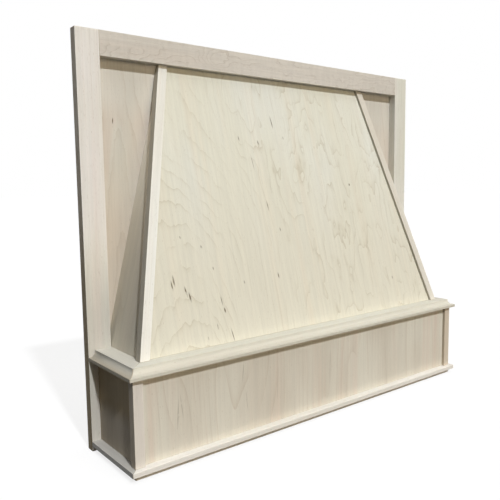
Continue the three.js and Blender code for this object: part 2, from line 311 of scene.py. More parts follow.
def maple(name, pale, deep, line, heart, growth, line_share=0.3, heart_share=0.3, curl=0.0,
          heart_above=None, heart_span=None, foot=None, flecks=(), sawn_and_shade_share=0.63):
    """Bare sanded maple: two broad tones, growth lines that end sharply on one side, pinkish heart in
    streaks or beyond one growth line, strands, fine fibres, short dark flecks and, on a curly board,
    soft ripples. foot gives two heights above the board's middle and the tone that it shifts to from
    the first down to the second. heart_span keeps the heart between two heights. Each of flecks says
    in mm how far across and up from the middle it lies and its length and width, then its lean in
    degrees and how dark it is. Sides left from the saw are browner, by sawn_and_shade_share, and this
    browning is partly their roughness and partly painted shade on sides turned away from the light."""
    material, tree = start_material(name)
    place, shifted = board_places(tree)
    field, strength = growth(tree, place, shifted)

    broad = between(tree, blotches(tree, shifted, across=8.0, along=2.2), low=0.34, high=0.66)
    colour = tint(tree, broad, pale, deep)
    if foot:
        head_height, foot_height, foot_tone = foot
        down = between(tree, place[2], foot_height, head_height, start=1.0, end=0.0)
        colour = tint(tree, down, colour, foot_tone)

    if heart_above:
        heart_fade = 0.35
        beyond = between(tree, field, heart_above, heart_above + heart_fade)
        cloud = blotches(tree, shifted, across=30.0, along=5.0, detail=3.0)
        reddish = step(tree, "MULTIPLY", beyond, between(tree, cloud, 0.3, 0.7, start=0.35, end=1.0))
        if heart_span:
            span_low, span_high = heart_span
            span_fade = 0.06
            risen = between(tree, place[2], span_low, span_low + span_fade)
            ended = between(tree, place[2], span_high - span_fade, span_high, start=1.0, end=0.0)
            reddish = step(tree, "MULTIPLY", reddish, step(tree, "MULTIPLY", risen, ended))
    else:
        streak = blotches(tree, shifted, across=30.0, along=1.2, detail=3.0)
        reddish = between(tree, streak, low=0.5, high=0.74)
    colour = tint(tree, step(tree, "MULTIPLY", reddish, heart_share), colour, heart)

    sharp_side_width = 0.04
    line_thinness = 10.0
    shade_thinness = 2.0
    shade_in_line = 0.16
    phase = step(tree, "FRACT", field)
    sharp_side = between(tree, phase, 0.0, sharp_side_width)
    late_wood = step(tree, "MULTIPLY", step(tree, "POWER", phase, line_thinness), sharp_side)
    shade = step(tree, "MULTIPLY", step(tree, "POWER", phase, shade_thinness), sharp_side)
    line_alone = step(tree, "MULTIPLY", late_wood, 1.0 - shade_in_line)
    both = step(tree, "MULTIPLY_ADD", shade, shade_in_line, line_alone)
    uneven = between(tree, blotches(tree, shifted, across=26.0, along=8.0), 0.38, 0.6, start=0.1, end=1.0)
    drawn = step(tree, "MULTIPLY", step(tree, "MULTIPLY", both, uneven), strength)
    colour = tint(tree, step(tree, "MULTIPLY", drawn, line_share), colour, line)

    strand = blotches(tree, shifted, across=170.0, along=4.0, detail=3.0, rough=0.6)
    colour = brighten(tree, colour, between(tree, strand, 0.3, 0.7, start=0.965, end=1.025))
    fibre = blotches(tree, shifted, across=1500.0, along=28.0, detail=3.0, rough=0.65)
    colour = brighten(tree, colour, between(tree, fibre, 0.25, 0.75, start=0.955, end=1.035))
    if curl:
        ripple = blotches(tree, shifted, across=26.0, along=120.0, detail=2.0)
        colour = brighten(tree, colour, between(tree, ripple, 0.35, 0.65, start=1.0 - curl, end=1.0 + curl))

    ray_share = 0.2
    ray_colour = paint(150, 128, 104)
    ray = between(tree, blotches(tree, shifted, across=1100.0, along=150.0, detail=0.0), 0.74, 0.80)
    colour = tint(tree, step(tree, "MULTIPLY", ray, ray_share), colour, ray_colour)

    fleck_colour = paint(88, 70, 36)
    stain = None
    for across, along, length, width, lean, dark in flecks:
        spot = tree.nodes.new("ShaderNodeMapping")
        spot.vector_type = "TEXTURE"
        spot.inputs["Location"].default_value = (across * MM, 0.0, along * MM)
        spot.inputs["Rotation"].default_value = (0.0, math.radians(lean), 0.0)
        spot.inputs["Scale"].default_value = (width * MM, 1.0, length * MM)
        tree.links.new(mark(tree, "grain", "Vector"), spot.inputs["Vector"])
        reach = tree.nodes.new("ShaderNodeVectorMath")
        reach.operation = "LENGTH"
        tree.links.new(spot.outputs[0], reach.inputs[0])
        fleck = between(tree, reach.outputs["Value"], 0.1, 0.55, start=dark, end=0.0)
        stain = fleck if stain is None else step(tree, "MAXIMUM", stain, fleck)
    if stain is not None:
        broken = between(tree, blotches(tree, shifted, across=400.0, along=90.0, detail=1.0), 0.25, 0.45)
        colour = tint(tree, step(tree, "MULTIPLY", stain, broken), colour, fleck_colour)

    rubbed_brighter = 1.05
    # Painted shade: marked faces go to a browner tone, partly for rough wood from the saw, mostly as shade.
    sawn_and_shade_colour = paint(116, 97, 56)
    colour = brighten(tree, colour, between(tree, mark(tree, "rubbed"), 0.0, 1.0, 1.0, rubbed_brighter))
    fuzz = between(tree, strand, 0.2, 0.8, start=0.85, end=1.0)
    browned = step(tree, "MULTIPLY", step(tree, "MULTIPLY", mark(tree, "sawn_side_and_shade"), fuzz), sawn_and_shade_share)
    colour = tint(tree, browned, colour, sawn_and_shade_colour)
    toned = tree.nodes.new("ShaderNodeVectorMath")
    toned.operation = "MULTIPLY"
    feed(tree, toned.inputs[0], colour)
    feed(tree, toned.inputs[1], mark(tree, "tone", "Vector"))

    line_depth = 0.5
    ray_depth = 0.8
    rough = between(tree, fibre, 0.2, 0.8, start=0.70, end=0.56)
    height = step(tree, "MULTIPLY_ADD", ray, -ray_depth, fibre)
    height = step(tree, "MULTIPLY_ADD", late_wood, -line_depth, height)
    finish(tree, toned.outputs[0], rough, height, relief=0.12 * MM)
    return material


def end_grain(name, pale, dark):
    """The end of a board, cut across the grain: thirstier and darker than its face, with growth rings
    and open pores.
    """
    material, tree = start_material(name)
    place, shifted = board_places(tree)
    pith_depth = 0.055
    rings_to_metre = 420.0
    ring_thinness = 3.0
    ring_share = 0.45
    pore_share = 0.5
    depth = step(tree, "ADD", place[1], pith_depth)
    depth_squared = step(tree, "MULTIPLY", depth, depth)
    reach = step(tree, "SQRT", step(tree, "MULTIPLY_ADD", place[0], place[0], depth_squared))
    wander = blotches(tree, shifted, across=60.0, along=1.0)
    phase = step(tree, "FRACT", step(tree, "MULTIPLY_ADD", reach, rings_to_metre, wander))
    pores = blotches(tree, shifted, across=2600.0, along=1.0, detail=1.0)
    ring = step(tree, "MULTIPLY", step(tree, "POWER", phase, ring_thinness), ring_share)
    share = step(tree, "MULTIPLY_ADD", pores, pore_share, ring, clamp=True)
    finish(tree, tint(tree, share, pale, dark), roughness=0.82, height=pores, relief=0.2 * MM)
    return material


def ease_edges(bm, radius):
    """Rounds every sharp edge, as a light pass with sandpaper does, and marks how far it rubbed."""
    sharp_from = math.radians(20)
    rub_width = 2.5 * MM
    narrowest_to_mark = 3 * rub_width
    most_corners_to_mark = 5
    rubbed = bm.verts.layers.float.new("rubbed")
    sharp = [edge for edge in bm.edges if edge.calc_face_angle(0.0) > sharp_from]
    rounded = bmesh.ops.bevel(
        bm, geom=sharp, offset=radius, offset_type="OFFSET", segments=3, profile=0.5,
        affect="EDGES", clamp_overlap=True)
    corner_faces = set(rounded["faces"])
    for face in corner_faces:
        face.smooth = True
        for corner in face.verts:
            corner[rubbed] = 1.0
    for face in list(bm.faces):
        narrow = min(edge.calc_length() for edge in face.edges) < narrowest_to_mark
        if face in corner_faces or len(face.verts) > most_corners_to_mark or narrow:
            continue
        rim = set(face.verts)
        bmesh.ops.inset_individual(bm, faces=[face], thickness=rub_width, use_even_offset=True)
        for corner in face.verts:
            if corner not in rim:
                corner[rubbed] = 0.0


def make_board(name, bm, along, across, face_material, cut_material, number, cut_is="end", sawn_and_shade=None,
               tone=(1.0, 1.0, 1.0)):
    """Turns the mesh into an object and lays the grain along it. Faces cut across the grain, or on
    plywood the faces that show its plies, take cut_material. The number sets the board's own figure.
    What the browning function says of a face's direction and height is how far it goes to the browner
    tone, partly for how rough the saw left it and partly as painted shade: 0 for none, 1 for full. The
    tone multiplies the colour of this board alone."""
    faces_along = 0.6
    faces_through = 0.7
    along = along.normalized()
    across = (across - across.dot(along) * along).normalized()
    through = along.cross(across)
    mesh = bpy.data.meshes.new(name)
    bm.normal_update()
    for face in bm.faces:
        if cut_is == "end":
            face.material_index = int(abs(face.normal.dot(along)) > faces_along)
        else:
            face.material_index = int(abs(face.normal.dot(through)) < faces_through)
    bm.to_mesh(mesh)
    bm.free()
    mesh.materials.append(face_material)
    mesh.materials.append(cut_material)
    places = [(v.co.dot(across), v.co.dot(through), v.co.dot(along)) for v in mesh.vertices]
    lows = [min(p[i] for p in places) for i in range(3)]
    highs = [max(p[i] for p in places) for i in range(3)]
    middle = [(low + high) / 2 for low, high in zip(lows, highs)]
    mesh.attributes.new("grain", "FLOAT_VECTOR", "POINT")
    mesh.attributes.new("board_number", "FLOAT", "POINT")
    mesh.attributes.new("tone", "FLOAT_VECTOR", "POINT")
    mesh.attributes.new("sawn_side_and_shade", "FLOAT", "FACE")
    for index, place in enumerate(places):
        mesh.attributes["grain"].data[index].vector = [p - m for p, m in zip(place, middle)]
        mesh.attributes["board_number"].data[index].value = number
        mesh.attributes["tone"].data[index].vector = tone
    # Each face's share of the browner tone: partly rough wood, partly painted shade.
    if sawn_and_shade:
        for polygon in mesh.polygons:
            share = sawn_and_shade(polygon.normal, polygon.center.z)
            mesh.attributes["sawn_side_and_shade"].data[polygon.index].value = share
    return place_in_scene(name, mesh)


def fit_piece(piece, node):
    """Lets the finished piece stand for its node of the frame."""
    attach(piece, "root")
    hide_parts(node)


def jointed_and_shaded_outside(side):
    """A stile's outer side is left from the jointer and goes browner, partly for that and partly as
    painted shade; its other sides are sanded.
    """
    faces_outward = 0.8
    return lambda facing, height: float(side * facing.x > faces_outward)


X = Vector((1.0, 0.0, 0.0))
LEFT_AND_RIGHT = (("left", -1), ("right", 1))
frame_arris = 0.6 * MM
maple_end = end_grain("maple_end_grain", pale=paint(214, 200, 176), dark=paint(170, 148, 118))
# The strong brown on the stiles' outer edges is mostly painted shade, partly rough wood.
stile_maple = maple(
    "stile_maple", pale=paint(245, 242, 240), deep=paint(238, 236, 226), line=paint(208, 196, 182),
    heart=paint(234, 214, 206), growth=straight_growth(lines=70.0), line_share=0.25, heart_share=0.3,
    sawn_and_shade_share=0.9, foot=(0.03, -0.13, paint(208, 206, 197)))
stile_tones = {"left": (1.0, 1.0, 1.0), "right": (0.91, 0.93, 0.9)}

for side_name, side in LEFT_AND_RIGHT:
    node = f"{side_name}_stile"
    low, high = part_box(node)
    stile_shape = bmesh.new()
    bmesh.ops.create_cube(stile_shape, size=1.0)
    for corner in stile_shape.verts:
        corner.co.x = high.x if corner.co.x > 0 else low.x
        corner.co.y = high.y if corner.co.y > 0 else low.y
        corner.co.z = high.z if corner.co.z > 0 else low.z
    ease_edges(stile_shape, frame_arris)
    stile = make_board(
        f"{node}_board", stile_shape, Z, X, stile_maple, maple_end, number=1.0 + side,
        sawn_and_shade=jointed_and_shaded_outside(side), tone=stile_tones[side_name])
    fit_piece(stile, node)


# ---------------------------------------------------------------------------------------------------
# The top rail: a maple board with a swirl in its figure, between the stiles. Four pocket holes bored
# in its back take the screws that pull it to them.
def solid_of(node):
    """The frame's solid for a node, with the triangles of each flat face joined."""
    same_corner = 0.002 * MM
    same_plane = math.radians(0.4)
    bm = bmesh.new()
    bm.from_mesh(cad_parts[node].data)
    bmesh.ops.remove_doubles(bm, verts=bm.verts, dist=same_corner)
    bmesh.ops.dissolve_limit(bm, angle_limit=same_plane, verts=bm.verts, edges=bm.edges)
    return bm


def swirling_growth(lines, curl_along, curl_reach):
    """Growth lines of a board sawn close to a knot: slanting, wavy loops, and rings round one curl."""
    slant_along_board = 0.16
    broad_swing = 13.0
    small_swing = 2.0
    lines_in_curl = 3.5

    def rings(tree, place, shifted):
        broad = blotches(tree, shifted, across=13.0, along=4.5, detail=1.0)
        small = blotches(tree, shifted, across=70.0, along=34.0, detail=2.0)
        slant = step(tree, "MULTIPLY_ADD", place[2], slant_along_board, place[0])
        field = step(tree, "MULTIPLY_ADD", slant, lines, step(tree, "MULTIPLY", broad, broad_swing))
        field = step(tree, "MULTIPLY_ADD", small, small_swing, field)
        beside = step(tree, "SUBTRACT", place[2], curl_along)
        halved = step(tree, "MULTIPLY", beside, 0.5)
        square = step(tree, "MULTIPLY_ADD", halved, halved, step(tree, "MULTIPLY", place[0], place[0]))
        curl = between(tree, step(tree, "SQRT", square), 0.0, curl_reach, start=lines_in_curl, end=0.0)
        return step(tree, "ADD", field, curl), 1.0
    return rings


rail_maple = maple(
    "rail_maple", pale=paint(223, 218, 210), deep=paint(215, 210, 201), line=paint(150, 132, 108),
    heart=paint(208, 192, 178), growth=swirling_growth(lines=30.0, curl_along=-0.164, curl_reach=0.026),
    line_share=0.36, heart_share=0.3, curl=0.02)
rail_shape = solid_of("top_rail")
ease_edges(rail_shape, frame_arris)
rail = make_board("top_rail_board", rail_shape, X, Z, rail_maple, maple_end, number=5.0)
fit_piece(rail, "top_rail")


# ---------------------------------------------------------------------------------------------------
# The wing panels: one sheet of 3/8 inch maple plywood glued to the frame's back on each side of the
# hood. A pale arch of sapwood climbs each sheet between two bands of pinkish heart.
def arched_growth(lines, middle, pith, climb):
    """Growth lines of a plain-sliced sheet: nested arches round a line so far across the sheet."""
    sideways_swing = 0.05
    line_swing = 1.2
    ragged_swing = 0.5

    def rings(tree, place, shifted):
        wander = step(tree, "SUBTRACT", blotches(tree, shifted, across=9.0, along=2.4, detail=2.0), 0.5)
        ragged = step(tree, "SUBTRACT", blotches(tree, shifted, across=90.0, along=22.0, detail=2.0), 0.5)
        from_middle = step(tree, "SUBTRACT", place[0], middle)
        bent = step(tree, "MULTIPLY_ADD", wander, sideways_swing, from_middle)
        reach = step(tree, "SQRT", step(tree, "MULTIPLY_ADD", bent, bent, pith * pith))
        cone = step(tree, "MULTIPLY_ADD", place[2], climb, reach)
        field = step(tree, "MULTIPLY_ADD", cone, lines, step(tree, "MULTIPLY", wander, line_swing))
        return step(tree, "MULTIPLY_ADD", ragged, ragged_swing, field), 1.0
    return rings


def plies(name, count, thickness, pale, dark):
    """The cut edge of plywood: thin layers that show their fibres and their ends by turns."""
    material, tree = start_material(name)
    place, shifted = board_places(tree)
    waver_share = 0.35
    pore_share = 0.35
    other_share = 0.6
    glue_width = 0.09
    glue_shade = 0.75
    waver = step(tree, "MULTIPLY", blotches(tree, shifted, across=30.0, along=30.0), waver_share)
    layer = step(tree, "MULTIPLY_ADD", place[1], count / thickness, step(tree, "ADD", waver, count / 2))
    turn = step(tree, "FRACT", step(tree, "MULTIPLY", layer, 0.5))
    other = between(tree, turn, low=0.46, high=0.54)
    pores = blotches(tree, shifted, across=900.0, along=900.0, detail=2.0)
    glue = between(tree, step(tree, "PINGPONG", layer, 0.5), 0.0, glue_width, start=glue_shade, end=1.0)
    share = step(tree, "MULTIPLY_ADD", pores, pore_share, step(tree, "MULTIPLY", other, other_share))
    colour = brighten(tree, tint(tree, share, pale, dark), glue)
    finish(tree, colour, roughness=0.8, height=step(tree, "ADD", pores, other), relief=0.25 * MM)
    return material


INCH = 0.0254
ply_count = 7
ply_thickness = 0.375 * INCH
ply_arris = 0.4 * MM
ply_edge = plies(
    "plywood_edge", ply_count, ply_thickness, pale=paint(222, 204, 172), dark=paint(176, 150, 116))
wing_veneer = maple(
    "wing_veneer", pale=paint(223, 219, 210), deep=paint(208, 206, 196), line=paint(164, 146, 122),
    heart=paint(206, 186, 170), growth=arched_growth(lines=40.0, middle=-0.025, pith=0.01, climb=0.127),
    line_share=0.24, heart_share=0.36, heart_above=0.95, heart_span=(0.0, 0.2),
    foot=(0.12, -0.08, paint(205, 195, 181)), flecks=((-32, 147, 14, 3.0, 4, 0.9),))

for side_name, side in LEFT_AND_RIGHT:
    node = f"{side_name}_wing_panel"
    wing_shape = solid_of(node)
    ease_edges(wing_shape, ply_arris)
    wing = make_board(
        f"{node}_sheet", wing_shape, Z, X, wing_veneer, ply_edge, number=9.0 + side, cut_is="edge")
    fit_piece(wing, node)


# ---------------------------------------------------------------------------------------------------
# The bottom box: a front panel and two side panels of maple plywood between maple corner posts, glued
# and bradded to the cleats inside. The sides' veneer is painted shade: darker and browner than the
# front's, and darkest in a painted shadow under the shelf; the right side lifts it with its tone.
lower_veneer = maple(
    "lower_veneer", pale=paint(221, 218, 207), deep=paint(211, 205, 193), line=paint(176, 158, 136),
    heart=paint(218, 200, 187), growth=straight_growth(lines=34.0, wander=0.38), line_share=0.3,
    heart_share=0.45, flecks=(
        (-360, -6, 70, 2.6, 4, 0.4), (-352, 8, 60, 2.2, -7, 0.35), (-216, 41, 50, 2.4, 6, 0.35),
        (-208, -15, 50, 2.4, -6, 0.35), (18, 10, 90, 2.4, 2, 0.25), (-130, 0, 90, 2.4, 3, 0.25)))
# Painted shade: darker and browner than the front's veneer, most in a painted shadow above the foot.
box_side_shaded_veneer = maple(
    "box_side_shaded_veneer", pale=paint(170, 154, 125), deep=paint(165, 149, 120), line=paint(138, 122, 98),
    heart=paint(168, 146, 118), growth=straight_growth(lines=34.0, wander=0.38), line_share=0.3,
    heart_share=0.3, foot=(0.012, -0.025, paint(180, 170, 154)))
lower_post_maple = maple(
    "lower_post_maple", pale=paint(227, 222, 215), deep=paint(221, 215, 206), line=paint(190, 174, 154),
    heart=paint(212, 190, 172), growth=straight_growth(lines=120.0), line_share=0.25, heart_share=0.2)

Y = Vector((0.0, 1.0, 0.0))
lower_panels = (
    ("lower_front_panel", X, 14.0, lower_veneer, (1.02, 1.01, 0.99)),
    ("left_lower_side_panel", Y, 16.0, box_side_shaded_veneer, (1.0, 1.0, 1.0)),
    ("right_lower_side_panel", Y, 18.0, box_side_shaded_veneer, (1.2, 1.22, 1.3)),
)
for node, across, number, veneer, tone in lower_panels:
    panel_shape = solid_of(node)
    ease_edges(panel_shape, ply_arris)
    panel = make_board(
        f"{node}_sheet", panel_shape, Z, across, veneer, ply_edge, number=number, cut_is="edge", tone=tone)
    fit_piece(panel, node)


def sawn_and_shaded_beside(side, inner_share):
    """A post's outer side is left rough from the saw, its inner side less so, and its front is sanded.
    Both sides go browner, partly for their roughness and partly as painted shade.
    """
    faces_sideways = 0.7

    def sawn_and_shade(facing, height):
        outward = side * facing.x
        if abs(outward) < faces_sideways:
            return 0.0
        return 1.0 if outward > 0 else inner_share
    return sawn_and_shade


post_arris = 0.8 * MM
lower_post_tones = {"left": (1.02, 1.01, 1.0), "right": (0.9, 0.84, 0.75)}
for side_name, side in LEFT_AND_RIGHT:
    node = f"{side_name}_lower_post"
    post_shape = solid_of(node)
    ease_edges(post_shape, post_arris)
    post = make_board(
        f"{node}_board", post_shape, Z, X, lower_post_maple, maple_end, number=22.0 + side,
        sawn_and_shade=sawn_and_shaded_beside(side, inner_share=0.3), tone=lower_post_tones[side_name])
    fit_piece(post, node)


# ---------------------------------------------------------------------------------------------------
# The ledge under the box: three boards of solid maple, mitred at the front corners, glued up under the
# box and rebated below their face, so that the liner's flange is out of sight.
moulding_arris = 0.6 * MM
ledge_maple = maple(
    "ledge_maple", pale=paint(244, 241, 236), deep=paint(236, 233, 225), line=paint(204, 192, 172),
    heart=paint(226, 210, 194), growth=straight_growth(lines=80.0), line_share=0.25, heart_share=0.25)

ledge_boards = (
    ("base_front_moulding", X, Y, 26.0, (1.0, 1.0, 1.0)),
    # The left board's dark tone is painted shade.
    ("base_left_moulding", Y, X, 27.0, (0.62, 0.62, 0.62)),
    ("base_right_moulding", Y, X, 28.0, (0.9, 0.88, 0.85)),
)
for node, along, across, number, tone in ledge_boards:
    ledge_shape = solid_of(node)
    ease_edges(ledge_shape, moulding_arris)
    ledge = make_board(
        f"{node}_board", ledge_shape, along, across, ledge_maple, maple_end, number=number, tone=tone)
    fit_piece(ledge, node)


# ---------------------------------------------------------------------------------------------------
# The shelf on top of the box: three boards of solid maple, mitred at the front corners. A cutter makes
# the cove between their flat top and the square lip, and leaves both a little rough. Their browner tone
# is partly that roughness and partly painted shade: most on the side boards, and on each cove where
# it lies flat.
lip_height = 0.25 * INCH
lip_ledge = 0.0625 * INCH
cove_reach = 0.4375 * INCH
cove_fillet = 0.0625 * INCH
cove_steps = 24
shelf_maple = maple(
    "shelf_maple", pale=paint(225, 223, 213), deep=paint(219, 216, 205), line=paint(194, 182, 162),
    heart=paint(216, 200, 184), growth=straight_growth(lines=60.0), line_share=0.25, heart_share=0.25)
shelf_low, shelf_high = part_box("shelf_front_moulding")
shelf_width = shelf_high.y - shelf_low.y
cove_drop = shelf_high.z - shelf_low.z - lip_height - cove_fillet
shelf_section = [(0.0, shelf_low.z), (0.0, shelf_low.z + lip_height)]
cove_starts = len(shelf_section)
for notch in range(cove_steps + 1):
    turn = math.pi / 2 * notch / cove_steps
    inward = lip_ledge + cove_reach * math.sin(turn)
    shelf_section.append((inward, shelf_high.z - cove_fillet - cove_drop * math.cos(turn)))
shelf_section.append((lip_ledge + cove_reach, shelf_high.z))
shelf_section.append((shelf_width, shelf_high.z))
shelf_section.append((shelf_width, shelf_low.z))


def run_section(start_of, end_of):
    """Draws the shelf's section between two ends, each given as a place for each distance inwards."""
    bm = bmesh.new()
    first = [bm.verts.new(start_of(inward) + (height,)) for inward, height in shelf_section]
    last = [bm.verts.new(end_of(inward) + (height,)) for inward, height in shelf_section]
    count = len(shelf_section)
    bm.faces.new(first)
    bm.faces.new(list(reversed(last)))
    for index in range(count):
        following = (index + 1) % count
        strip = bm.faces.new((first[following], first[index], last[index], last[following]))
        strip.smooth = cove_starts <= index < cove_starts + cove_steps
    bmesh.ops.recalc_face_normals(bm, faces=bm.faces)
    return bm


def cutter_marks_and_shade(lip_share, cove_share):
    """How far a shelf board's faces go to the browner tone, partly for the cutter's roughness and partly
    as painted shade: its lip by one share, and its cove by the other where it lies flat and less the
    steeper it is. The top and the underside are sanded."""
    faces_down = -0.5

    def sawn_and_shade(facing, height):
        if height > shelf_high.z - cove_fillet / 2 or facing.z < faces_down:
            return 0.0
        if height < shelf_low.z + lip_height:
            return lip_share
        return cove_share * abs(facing.z)
    return sawn_and_shade


front_shelf = run_section(
    lambda inward: (shelf_low.x + inward, shelf_low.y + inward),
    lambda inward: (shelf_high.x - inward, shelf_low.y + inward),
)
# The side boards' full shares are mostly painted shade on their lip and cove.
front_cut_and_shade = cutter_marks_and_shade(lip_share=0.25, cove_share=0.3)
side_cut_and_shade = cutter_marks_and_shade(lip_share=1.0, cove_share=0.9)
shelf_boards = [("shelf_front_moulding", X, Y, 31.0, (0.96, 0.965, 0.95), front_shelf, front_cut_and_shade)]
# The left board's darker tone is painted shade.
shelf_tones = {"left": (0.9, 0.9, 0.9), "right": (0.95, 0.94, 0.92)}
for side_name, side in LEFT_AND_RIGHT:
    node = f"shelf_{side_name}_moulding"
    low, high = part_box(node)
    outer = high.x if side > 0 else low.x
    side_shelf = run_section(
        lambda inward, side=side, outer=outer, front=low.y: (outer - side * inward, front + inward),
        lambda inward, side=side, outer=outer, back=high.y: (outer - side * inward, back),
    )
    shelf_boards.append((node, Y, X, 32.0 + side / 2, shelf_tones[side_name], side_shelf, side_cut_and_shade))

for node, along, across, number, tone, shelf_shape, cut in shelf_boards:
    ease_edges(shelf_shape, moulding_arris)
    shelf = make_board(
        f"{node}_board", shelf_shape, along, across, shelf_maple, maple_end, number=number, sawn_and_shade=cut,
        tone=tone)
    fit_piece(shelf, node)


# ---------------------------------------------------------------------------------------------------
# The hood front: one large sheet of rotary-cut maple plywood, glued to cleats between the leaning posts.
# Its growth lines arch at the left, run steeply down the middle and break into islands at the right,
# with a few dark mineral flecks.
def lean_of(node):
    """The direction in which a leaning piece climbs, from the middle of its foot to that of its top."""
    same_level = 0.5 * MM
    points = [v.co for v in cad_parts[node].data.vertices]
    low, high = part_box(node)
    middles = []
    for level in (low.z, high.z):
        rim = [p for p in points if abs(p.z - level) < same_level]
        middles.append(Vector([(min(p[i] for p in rim) + max(p[i] for p in rim)) / 2 for i in range(3)]))
    return (middles[1] - middles[0]).normalized()


def rotary_growth(lines, arch_middle, arch_drift, pith, steep_until):
    """Growth lines of a rotary-cut sheet: arches round a line that drifts sideways as it climbs, fainter
    and steeper lines past them, and then islands."""
    sideways_swing = 0.06
    broad_swing = 5.0
    fine_swing = 0.8
    blend_width = 0.12

    def rings(tree, place, shifted):
        broad = step(tree, "SUBTRACT", blotches(tree, shifted, across=5.0, along=2.0, detail=1.0), 0.5)
        small = step(tree, "SUBTRACT", blotches(tree, shifted, across=13.0, along=5.0, detail=3.0), 0.5)
        fine = step(tree, "SUBTRACT", blotches(tree, shifted, across=56.0, along=18.0, detail=3.0), 0.5)
        drift = between(tree, place[2], -0.12, 0.26, start=0.0, end=arch_drift)
        from_arch = step(tree, "SUBTRACT", step(tree, "ADD", place[0], drift), arch_middle)
        bent = step(tree, "MULTIPLY_ADD", broad, sideways_swing, from_arch)
        reach = step(tree, "SQRT", step(tree, "MULTIPLY_ADD", bent, bent, pith * pith))
        steep = step(tree, "SMOOTH_MIN", reach, steep_until - arch_middle, blend_width)
        lean = between(tree, from_arch, 0.02, 0.26, start=24.0, end=-6.0)
        islands = between(tree, from_arch, 0.2, 0.4, start=1.5, end=8.5)
        field = step(tree, "MULTIPLY_ADD", steep, lines, step(tree, "MULTIPLY", place[2], lean))
        field = step(tree, "MULTIPLY_ADD", broad, broad_swing, field)
        field = step(tree, "MULTIPLY_ADD", small, islands, field)
        field = step(tree, "MULTIPLY_ADD", fine, fine_swing, field)
        fading = between(tree, from_arch, 0.04, 0.2, start=0.85, end=0.5)
        gathering = between(tree, from_arch, 0.24, 0.38, start=0.0, end=0.5)
        return field, step(tree, "ADD", fading, gathering)
    return rings


# Each fleck: across and up from the sheet's middle, length and width in mm, lean in degrees, darkness.
mineral_flecks = (
    (-328, -145, 26, 4.6, -4, 0.8),
    (-333, -153, 22, 3.8, -4, 0.85),
    (-306, -167, 24, 4.2, -8, 0.9),
    (-299, -178, 22, 4.5, -7, 0.9),
    (-231, -193, 24, 2.6, -6, 0.7),
    (-227, -212, 13, 4.5, -8, 0.9),
    (-218, -261, 36, 2.8, -9, 0.75),
    (-249, -240, 14, 3.0, -4, 0.6),
    (-274, -258, 9, 3.0, -4, 0.4),
    (-238, -130, 9, 3.4, -2, 0.6),
    (-257, -87, 9, 4.4, -11, 0.55),
    (-300, -66, 8, 3.4, -11, 0.5),
    (-80, -160, 15, 3.8, -5, 0.8),
    (-170, -164, 9, 3.4, -5, 0.55),
    (-53, -64, 11, 3.4, -4, 0.65),
    (-76, -13, 26, 3.0, -4, 0.7),
    (-24, 172, 34, 3.8, -7, 0.8),
    (-122, 132, 14, 3.4, -5, 0.65),
    (-72, 125, 12, 4.5, -5, 0.65),
    (-96, 81, 44, 2.0, -6, 0.55),
    (2, 138, 9, 3.0, -2, 0.5),
    (187, 31, 8, 5.0, -2, 0.9),
    (277, -202, 10, 4.5, -2, 0.6),
)
slope_veneer = maple(
    "slope_veneer", pale=paint(228, 229, 220), deep=paint(226, 225, 211), line=paint(162, 148, 114),
    heart=paint(230, 218, 198), line_share=0.38, heart_share=0.25,
    growth=rotary_growth(lines=42.0, arch_middle=-0.305, arch_drift=0.17, pith=0.09, steep_until=0.06),
    foot=(0.16, -0.2, paint(223, 220, 205)), flecks=mineral_flecks)
slope_shape = solid_of("sloped_front_panel")
ease_edges(slope_shape, ply_arris)
slope = make_board(
    "sloped_front_panel_sheet", slope_shape, lean_of("sloped_front_panel"), X, slope_veneer, ply_edge,
    number=40.0, cut_is="edge")
fit_piece(slope, "sloped_front_panel")


# ---------------------------------------------------------------------------------------------------
# The hood's corners and sides: a leaning post of the palest maple at each corner, sanded on its front,
# and a plywood side that runs back from it to the wing panel, both glued to the blocks inside.
post_maple = maple(
    "post_maple", pale=paint(242, 243, 238), deep=paint(237, 235, 227), line=paint(212, 202, 182),
    heart=paint(228, 214, 200), growth=straight_growth(lines=120.0), line_share=0.2, heart_share=0.15)
# Painted light and shade: paler near the top and darker towards the foot, as the light falls off downwards.
hood_side_veneer = maple(
    "hood_side_veneer", pale=paint(240, 234, 221), deep=paint(232, 225, 209), line=paint(180, 166, 146),
    heart=paint(208, 190, 174), growth=straight_growth(lines=40.0, wander=0.3), line_share=0.25,
    heart_share=0.3, foot=(0.16, -0.12, paint(203, 197, 182)))
upper_post_tones = {"left": (1.0, 1.0, 1.0), "right": (0.85, 0.82, 0.78)}

for side_name, side in LEFT_AND_RIGHT:
    node = f"{side_name}_upper_post"
    post_shape = solid_of(node)
    ease_edges(post_shape, post_arris)
    post = make_board(
        f"{node}_board", post_shape, lean_of(node), X, post_maple, maple_end, number=44.0 + side,
        sawn_and_shade=sawn_and_shaded_beside(side, inner_share=0.6), tone=upper_post_tones[side_name])
    fit_piece(post, node)
    side_grain = lean_of(node)
    side_grain.y = 0.0

    node = f"{side_name}_upper_side_panel"
    side_shape = solid_of(node)
    ease_edges(side_shape, ply_arris)
    side_panel = make_board(
        f"{node}_sheet", side_shape, side_grain, Y, hood_side_veneer, ply_edge, number=48.0 + side,
        cut_is="edge")
    fit_piece(side_panel, node)


